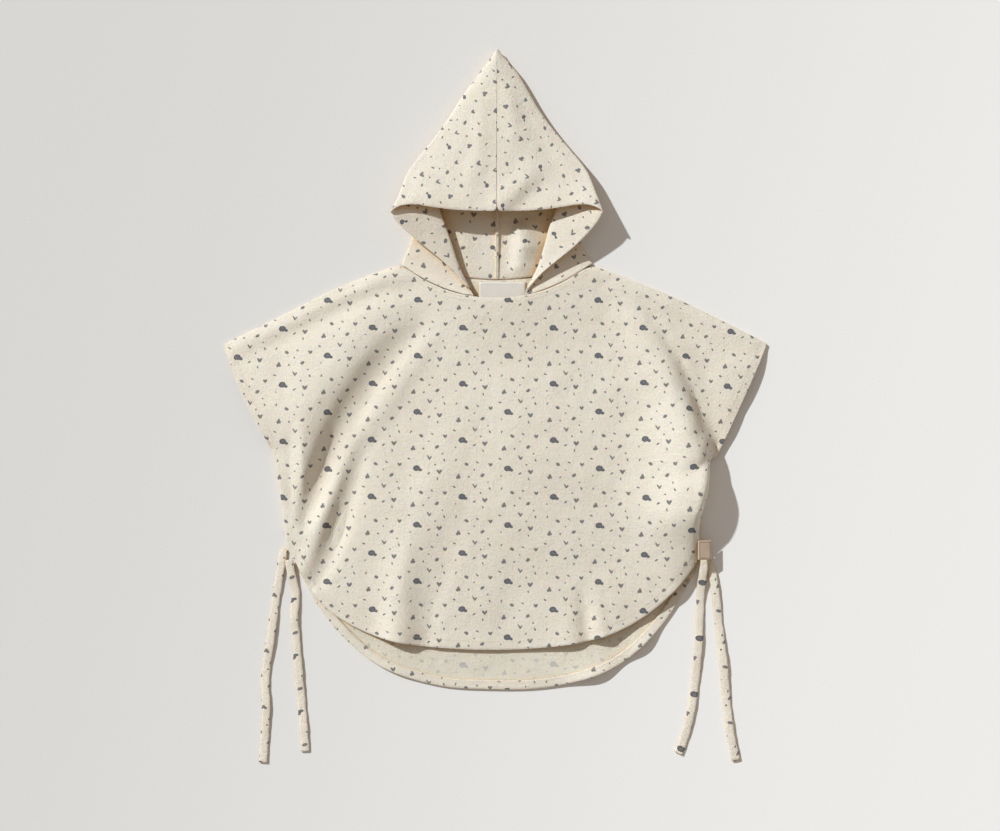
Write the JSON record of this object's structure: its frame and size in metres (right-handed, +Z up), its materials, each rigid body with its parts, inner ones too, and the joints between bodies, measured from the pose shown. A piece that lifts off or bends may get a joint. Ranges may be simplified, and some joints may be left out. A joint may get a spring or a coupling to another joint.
{
  "type": "hooded bath poncho",
  "caption": "Hooded bath poncho of thin printed cotton, laid flat face up: pointed hood, half sleeves, curved hems, ties at the side slits.",
  "frame": {"origin": "on the surface, under the middle of the laid-out garment without its ties", "axes": "+Y from the hems toward the point of the hood, +Z up from the surface through back and front, +X to the right as seen from above"},
  "size_m": [0.5999, 0.7855, 0.0409],
  "materials": {
    "printed_cotton": "matte cream cotton muslin with a small slate-blue print",
    "label_tape": "smooth off-white woven label tape, plain",
    "tag_tape": "matte peach-beige woven tape, plain"
  },
  "bodies": {
    "root": {"front_panel": "printed_cotton", "back_panel": "printed_cotton", "back_hem": "printed_cotton", "hood_left": "printed_cotton", "hood_right": "printed_cotton", "neck_label": "label_tape", "side_tag": "tag_tape", "tie_left_front": "printed_cotton", "tie_left_back": "printed_cotton", "tie_right_front": "printed_cotton", "tie_right_back": "printed_cotton"}
  },
  "joints": []
}
